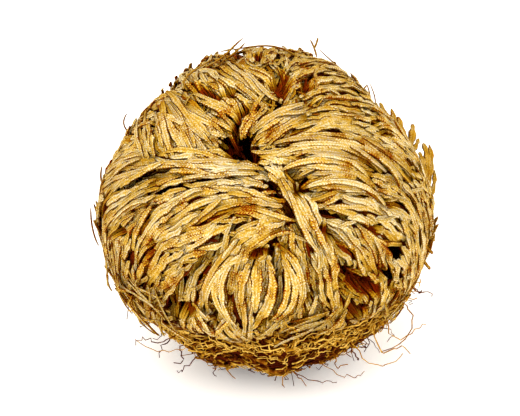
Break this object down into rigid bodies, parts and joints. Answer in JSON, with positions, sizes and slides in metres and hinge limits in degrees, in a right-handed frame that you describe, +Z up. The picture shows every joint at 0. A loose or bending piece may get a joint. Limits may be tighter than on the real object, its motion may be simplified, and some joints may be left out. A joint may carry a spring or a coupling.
{
  "type": "rose of jericho",
  "caption": "Dried resurrection plant curled up in a ball: scaly straw coloured fronds wrap round it from a crown to a dark mouth, over a mat of fine brown roots.",
  "frame": {"origin": "middle of the small flat spot under the root mat, on which the ball rests", "axes": "+Z up; the mouth where the fronds curl in leans towards -Y; +X is to the right of someone who looks at the mouth"},
  "size_m": [0.0777, 0.075, 0.0743],
  "materials": {
    "straw": "dry golden straw with dull scales",
    "old_straw": "dry brown straw",
    "roots": "dull fibres",
    "bark": "dull"
  },
  "bodies": {
    "root": {"crown": "bark", "root_mat": "roots", "frond_strap": "straw", "frond_front": "straw", "frond_left_upper": "straw", "frond_right_upper": "straw", "frond_back_right": "straw", "frond_back": "straw", "frond_back_left": "straw", "frond_left_low": "straw", "frond_right_low": "straw", "frond_right_high": "straw", "frond_left_high": "straw", "frond_back_right_high": "straw", "frond_back_left_high": "straw", "frond_left_middle": "straw", "frond_right_middle": "straw", "frond_front_left": "straw", "frond_front_right": "straw", "frond_front_short": "straw", "frond_left_short": "straw", "old_frond_01": "old_straw", "old_frond_02": "old_straw", "old_frond_03": "old_straw", "old_frond_04": "old_straw", "old_frond_05": "old_straw", "old_frond_06": "old_straw", "old_frond_07": "old_straw", "old_frond_08": "old_straw", "frond_middle_01": "straw", "frond_middle_02": "straw", "frond_middle_03": "straw", "frond_middle_04": "straw", "frond_middle_05": "straw", "frond_middle_06": "straw", "frond_middle_07": "straw", "frond_middle_08": "straw", "frond_middle_09": "straw", "frond_middle_10": "straw", "frond_middle_11": "straw", "frond_middle_12": "straw", "frond_inner_01": "straw", "frond_inner_02": "straw", "frond_inner_03": "straw", "frond_inner_04": "straw", "frond_inner_05": "straw", "frond_inner_06": "straw", "frond_inner_07": "straw"}
  },
  "joints": []
}
